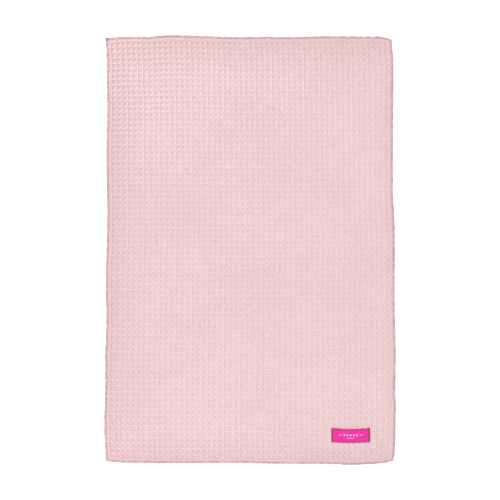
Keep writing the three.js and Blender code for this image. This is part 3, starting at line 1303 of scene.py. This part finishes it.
def edge_path():
    """A closed path round the core of the straight sheet's rim, anticlockwise, with small round
    corners, that wanders a little in and out."""
    half_width, half_length = WIDTH / 2 - CORE_INSET, LENGTH / 2 - CORE_INSET
    turns = []
    for way_x, way_y, first in ((-1, -1, 180), (1, -1, 270), (1, 1, 0), (-1, 1, 90)):
        for step in range(CORNER_STEPS + 1):
            angle = math.radians(first + 90 * step / CORNER_STEPS)
            turns.append((way_x * (half_width - CORNER_RADIUS) + CORNER_RADIUS * math.cos(angle),
                          way_y * (half_length - CORNER_RADIUS) + CORNER_RADIUS * math.sin(angle)))
    turns = np.array(turns)
    path = []
    for here, there in zip(turns, np.roll(turns, -1, axis=0)):
        pieces = max(1, round(math.dist(here, there) / PATH_SPACING))
        path.append(here + (there - here) * (np.arange(pieces)[:, None] / pieces))
    path = np.concatenate(path)
    wander = np.random.default_rng(SEED + 2).uniform(-1, 1, size=(len(path), 2))
    path += WANDER * (wander + np.roll(wander, 1, axis=0)) / 2
    return rows_of(*path.T, CORE_HEIGHT)


def stitch_mesh(edge):
    """One overlock stitch: it comes up inside the seam, goes over the edge and back under,
    slanting along the edge. +X is outwards, +Y along the edge, and its middle is the edge's core."""
    radius = edge.thread / 2
    slant = 0.5 * edge.spacing
    inner = CORE_INSET - edge.reach
    path = [(inner, -slant, SEAM_FACE - CORE_HEIGHT - STITCH_DIVE)]
    for step, turn in enumerate(STITCH_TURNS):
        angle = math.radians(turn)
        path.append(((CORE_INSET - radius) * math.cos(angle),
                     slant * (2 * step / (len(STITCH_TURNS) - 1) - 1),
                     (CORE_HEIGHT - radius) * math.sin(angle)))
    path.append((inner, slant, SEAM_BACK - CORE_HEIGHT + STITCH_DIVE))
    return thread_mesh("overlock_stitch", path, radius, 4)


def needle_mesh(edge):
    """One straight stitch of the needle thread along the inner side of the overlocking."""
    half = NEEDLE_REACH * edge.spacing
    path = [(CORE_INSET - edge.reach, way * half, SEAM_FACE - CORE_HEIGHT + rise)
            for way, rise in NEEDLE_PATH]
    return thread_mesh("needle_stitch", path, edge.thread / 2, 4, across=(1, 0, 0))


def tail_mesh():
    """The chain of thread left where the overlocking starts and ends, turned back round the
    towel's upper left corner and caught under the stitches."""
    path = np.array(TAIL) * MM + [-WIDTH / 2, LENGTH / 2, 0]
    mesh = thread_mesh("overlock_tail", path, TAIL_RADIUS, 8, across=(0, 0, 1))
    mark(mesh, "tone", np.full(len(mesh.vertices), TAIL_TONE))
    return mesh


@built_once("Overlock")
def overlock_tree(name):
    """Sews stitches evenly round a closed path, each with a needle stitch beside it."""
    tree, given = new_tree(name, "GeometryNodeTree", {
        "Geometry": "Geometry", "Stitch": "Object", "Needle stitch": "Object",
        "Stitches": 1500, "Uneven": 0.13, "Drift scale": 170.0, "Seed": SEED,
        "Material": "Material"})
    path = field(tree, "GeometryNodeMeshToCurve", {"Mesh": given["Geometry"]})
    even = field(tree, "GeometryNodeResampleCurve", {"Curve": path, "Count": given["Stitches"]})
    drift = stretched(noise(
        field(tree, "GeometryNodeInputPosition"), given["Drift scale"], 2))
    toned = holding(even, "tone", random_number(given["Seed"]) * 0.35 + drift * 0.65)
    facing = field(tree, "FunctionNodeAlignRotationToVector", {
        "Vector": field(tree, "GeometryNodeInputTangent")}, axis="Y", pivot_axis="Z")
    spread = given["Uneven"] * 2
    swollen = random_number(given["Seed"] + 1) * 0.5 + (1 - drift) * 0.7
    size = (1 - spread) + swollen * spread
    both = add_node(tree, "GeometryNodeJoinGeometry")
    feed(both.inputs[0], copied(toned, given["Stitch"], Rotation=facing, Scale=size))
    feed(both.inputs[0], copied(toned, given["Needle stitch"], Rotation=facing))
    return finished_tree(tree, {
        "Geometry": made_real(Field(both.outputs[0]), given["Material"])})


class TOWEL_OT_overlock(Operator):
    """Sew the overlocking round the towel's edge"""
    bl_idname = "towel.overlock"
    bl_label = "Overlocked edge"

    def execute(self, context):
        cloth = context.scene.towel_cloth
        edge = context.scene.towel_edge
        path = edge_path()
        number = np.arange(len(path))
        closed = np.stack([number, np.roll(number, -1)], 1)
        piece = new_object("overlock", new_mesh("overlock", path, [], closed))
        stitch = new_object("overlock_stitch", stitch_mesh(edge))
        needle = new_object("needle_stitch", needle_mesh(edge))
        grown(piece, overlock_tree(), {
            "Stitch": stitch,
            "Needle stitch": needle,
            "Stitches": round(2 * (WIDTH + LENGTH) / edge.spacing),
            "Seed": SEED,
            "Material": make_thread_material(
                "edge_thread", edge.colour, edge.light, turns=5.0),
        })
        discard(stitch)
        discard(needle)
        tail = new_object("overlock_tail", tail_mesh())
        tail.data.materials.append(make_thread_material(
            "edge_chain", dimmed(edge.colour, TAIL_SHADE), edge.colour, turns=9.0))
        for part in (piece, tail):
            lay_down(part, cloth)
            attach(part, BODY)
        return {"FINISHED"}


# The label


def label_place():
    """The label's middle, between its sewn corners, and its width and height there."""
    label = bpy.context.scene.towel_label
    width = label_high.x - label_low.x
    height = label_high.y - label_low.y - label.sag
    centre = ((label_low.x + label_high.x) / 2, label_high.y - height / 2)
    return centre, width, height


def ribbon_sag(label, x, width):
    """How far the ribbon's long sides droop at places along it, most of all in its middle."""
    return label.sag * (1 - (2 * x / width) ** 2)


def yarn_top(cloth):
    """The height of the yarns that stand proud of the ridges."""
    return cloth.crest + RIDGE_PROUD * cloth.yarn_height


def ribbon_path(label, width):
    """The ribbon's length seen from its side: rows of x, height and layer, which is 0 in the
    folded ends below and 1 on top."""
    half = width / 2
    turn = FOLD_RADIUS * label.thickness
    lower = label.thickness / 2 + RIBBON_CLEARANCE
    upper = lower + 2 * turn
    bend = np.radians(FOLD_TURNS)
    left = np.concatenate([
        rows_of(-half + np.linspace(label.fold, FOLD_LENGTH, FLAP_STEPS), lower, 0),
        rows_of(-half + FOLD_MIDDLE - FOLD_BULGE * np.cos(bend),
                (lower + upper) / 2 + turn * np.sin(bend), 0.5)])
    top = np.linspace(-half + FOLD_LENGTH, half - FOLD_LENGTH, RIBBON_STEPS)
    ends = np.clip((np.abs(top) - (half - label.fold - FOLD_RAMP)) / FOLD_RAMP, 0, 1)
    climb = lower + (upper - lower) * (ends * ends * (3 - 2 * ends))
    return np.concatenate([left, rows_of(top, climb, 1), left[::-1] * [-1, 1, 1]])


def flat_ribbon(label, width, height):
    """The folded ribbon's points about its middle, on its outer and then its inner side: rows of
    x, y, z and layer, and of its map's length and height."""
    path = ribbon_path(label, width)
    forward = np.gradient(path[:, :2], axis=0)
    forward /= np.linalg.norm(forward, axis=1)[:, None]
    outward = np.stack([-forward[:, 1], forward[:, 0]], 1)
    lengths = np.r_[0, np.cumsum(np.linalg.norm(np.diff(path[:, :2], axis=0), axis=1))]
    lengths -= lengths[-1] / 2
    found = []
    for side in (1, -1):
        for share in np.sin(np.linspace(-0.5, 0.5, RIBBON_ROWS) * math.pi) * 0.5:
            thin = 1 - SELVEDGE_TAPER * abs(2 * share) ** SELVEDGE_POWER
            x, z = (path[:, :2] + side * outward * label.thickness / 2 * thin).T
            found.append(rows_of(
                x, share * height, z, path[:, 2], lengths / MM, share * height / MM))
    return np.concatenate(found).T


def make_ribbon(cloth, label):
    """The folded ribbon as a thin closed mesh, laid over the ridges."""
    centre, width, height = label_place()
    x, y, z, layer, map_x, map_y = flat_ribbon(label, width, height)
    ripple = (RIBBON_RIPPLE * np.sin(2 * math.pi * x / CELL_WIDE + 1)
              * np.abs(2 * y / height) ** 3)
    swell = RIBBON_SWELL * np.cos(2 * math.pi * y / CELL_TALL) * layer
    sheet_x, sheet_y = x + centre[0], y + centre[1] - ribbon_sag(label, x, width)
    points = np.stack([
        sheet_x, sheet_y + ripple,
        z + swell + yarn_top(cloth) + cloth.lift * wave_height(sheet_x, sheet_y)], 1)
    upper, lower = np.arange(len(points)).reshape(2, RIBBON_ROWS, -1)
    rim = rim_order(upper.shape[1], RIBBON_ROWS)
    mesh = new_mesh("label_ribbon", points, np.concatenate([
        grid_faces(upper), grid_faces(lower)[:, ::-1],
        band(upper.ravel()[rim], lower.ravel()[rim])]))
    # Painted shade where the ribbon's long sides and folded ends turn down
    sides = np.abs(2 * y / height) ** SELVEDGE_POWER * SELVEDGE_SHADE
    ends = np.clip(END_SHADE - (width / 2 - np.abs(x)) / END_SHADE_FADE, 0, 1)
    mark(mesh, "worn", np.maximum(sides, ends))
    vertex = face_facts(mesh)[0]
    add_map(mesh, "ribbon", map_x[vertex], map_y[vertex])
    mesh.shade_smooth()
    return mesh


def add_label_map(mesh):
    """Adds a map of the folded label: its upper and its lower half, each with the faces that look
    up and those that look down apart."""
    vertex, looks_down = face_facts(mesh)
    points = points_of(mesh)
    low, high = points.min(0), points.max(0)
    x, y, _ = ((points - low) / (high - low))[vertex].T
    below = points[vertex, 2] < (low[2] + high[2]) / 2
    add_map(mesh, "OFBake", x, MAP_MARGIN + MAP_BAND_FILLED * y + 2 * MAP_BAND * looks_down
            + MAP_BAND * below)


def sew_label(cloth, label):
    """A run of stitches along each end of the label."""
    centre, width, height = label_place()
    run = height / label.stitches
    along = np.array([[-1], [1]]) * (width / 2 - STITCH_INSET)
    x = centre[0] + along
    y = (centre[1] + ((np.arange(label.stitches) + 0.5) * run - height / 2)
         - ribbon_sag(label, along, width))
    ribbon = (1 + 2 * FOLD_RADIUS) * label.thickness + RIBBON_CLEARANCE
    z = yarn_top(cloth) + ribbon + STITCH_PROUD + cloth.lift * wave_height(x, y)
    piece = laid_yarns(
        "label_stitches",
        rows_of(x, y, z, math.pi / 2, 0, run * STITCH_RUN, STITCH_WIDTH, STITCH_WIDTH),
        float_mesh("label_stitch", sides=6, rings=5, blunt=0.36),
        make_thread_material("label_thread", label.thread, label.satin, turns=4.0))
    add_flat_map(piece.data)
    return piece


class TOWEL_OT_label(Operator):
    """Make the folded satin label and sew down its two ends"""
    bl_idname = "towel.label"
    bl_label = "Sewn label"

    def execute(self, context):
        cloth = context.scene.towel_cloth
        label = context.scene.towel_label
        piece = new_object("label_ribbon", make_ribbon(cloth, label))
        smooth = piece.modifiers.new("Smooth", "SUBSURF")
        smooth.levels = smooth.render_levels = 1
        mesh = made_plain(piece, smooth)
        mesh.materials.append(make_satin_material(label))
        add_label_map(mesh)
        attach(piece, BODY)
        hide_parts("label")
        stitches = sew_label(cloth, label)
        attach(stitches, BODY)
        return {"FINISHED"}


# The stage


def hang(lamp, place):
    """Hangs a light where it shines on the towel's middle, out of the camera's sight."""
    light = bpy.data.objects.new(lamp.name, lamp)
    light.location = place
    light.rotation_mode = "QUATERNION"
    light.rotation_quaternion = (-light.location).to_track_quat("-Z", "Y")
    light.visible_camera = False
    bpy.context.scene.collection.objects.link(light)


class TOWEL_OT_stage(Operator):
    """Set up the pale floor, the soft light and the camera over the towel"""
    bl_idname = "towel.stage"
    bl_label = "Stage"

    def execute(self, context):
        stage = context.scene.towel_stage
        self.make_floor(stage)
        self.make_sky(stage)
        self.make_lamps(stage)
        self.make_camera(stage)
        context.scene.view_settings.view_transform = "Standard"
        return {"FINISHED"}

    def make_floor(self, stage):
        corners = [(x * FLOOR_HALF, y * FLOOR_HALF, FLOOR_LEVEL)
                   for x, y in ((-1, -1), (1, -1), (1, 1), (-1, 1))]
        mesh = new_mesh("floor", corners, [(0, 1, 2, 3)])
        mesh.materials.append(make_floor_material(stage))
        new_object("floor", mesh)

    def make_sky(self, stage):
        """White light from all round, whose strength may change towards the horizon."""
        world = bpy.data.worlds.new("studio")
        world.use_nodes = True
        tree = world.node_tree
        way = field(tree, "ShaderNodeTexCoord", output="Generated")
        height = field(tree, "ShaderNodeSeparateXYZ", {"Vector": way}, "Z")
        sky = tree.nodes["Background"]
        sky.inputs["Color"].default_value = (1, 1, 1, 1)
        feed(sky.inputs["Strength"], field(tree, "ShaderNodeMapRange", {
            "Value": height, "From Min": HORIZON_BAND[0], "From Max": HORIZON_BAND[1],
            "To Min": stage.horizon, "To Max": stage.sky}))
        bpy.context.scene.world = world

    def make_lamps(self, stage):
        sun = bpy.data.lights.new("window_light", "SUN")
        sun.energy = stage.sun
        sun.angle = math.radians(WINDOW_ANGLE)
        hang(sun, WINDOW_PLACE)
        for name, place, power in LAMPS:
            lamp = bpy.data.lights.new(name, "AREA")
            lamp.shape = "DISK"
            lamp.size = LAMP_SIZE
            lamp.energy = power * stage.lamps
            hang(lamp, place)

    def make_camera(self, stage):
        lens = bpy.data.cameras.new("camera")
        lens.lens = stage.lens
        lens.sensor_width = SENSOR_WIDTH
        camera = bpy.data.objects.new("camera", lens)
        distance = stage.view_width * lens.lens / lens.sensor_width
        camera.location = (0, 0, distance + VIEW_LEVEL)
        bpy.context.scene.collection.objects.link(camera)
        bpy.context.scene.camera = camera


class TOWEL_PT_panel(Panel):
    """The towel's pieces, with the sizes and colours of each"""
    bl_label = "Waffle hand towel"
    bl_idname = "TOWEL_PT_panel"
    bl_space_type = "VIEW_3D"
    bl_region_type = "UI"
    bl_category = "Towel"

    def draw(self, context):
        for settings_name, operators in PANEL_ROWS:
            settings = getattr(context.scene, settings_name)
            box = self.layout.box()
            for name in settings.bl_rna.properties.keys():
                if name not in {"rna_type", "name"}:
                    box.prop(settings, name)
            for operator in operators:
                box.operator(operator.bl_idname)


SETTINGS = {
    "towel_cloth": ClothSettings,
    "towel_edge": EdgeSettings,
    "towel_label": LabelSettings,
    "towel_stage": StageSettings,
}
OPERATORS = (
    TOWEL_OT_stage, TOWEL_OT_cloth, TOWEL_OT_yarns, TOWEL_OT_overlock, TOWEL_OT_label,
)
PANEL_ROWS = (
    ("towel_cloth", (TOWEL_OT_cloth, TOWEL_OT_yarns)),
    ("towel_edge", (TOWEL_OT_overlock,)),
    ("towel_label", (TOWEL_OT_label,)),
    ("towel_stage", (TOWEL_OT_stage,)),
)


def register():
    for name, settings in SETTINGS.items():
        bpy.utils.register_class(settings)
        setattr(bpy.types.Scene, name, PointerProperty(type=settings))
    for operator in OPERATORS:
        bpy.utils.register_class(operator)
    bpy.utils.register_class(TOWEL_PT_panel)


def unregister():
    bpy.utils.unregister_class(TOWEL_PT_panel)
    for operator in reversed(OPERATORS):
        bpy.utils.unregister_class(operator)
    for name, settings in reversed(SETTINGS.items()):
        delattr(bpy.types.Scene, name)
        bpy.utils.unregister_class(settings)


def main():
    register()
    bpy.ops.towel.stage()
    bpy.ops.towel.cloth()
    bpy.ops.towel.yarns()
    bpy.ops.towel.overlock()
    bpy.ops.towel.label()
    _, width, height = label_place()
    fold = bpy.context.scene.towel_label.fold
    width + 2 * fold


if __name__ == "__main__":
    main()
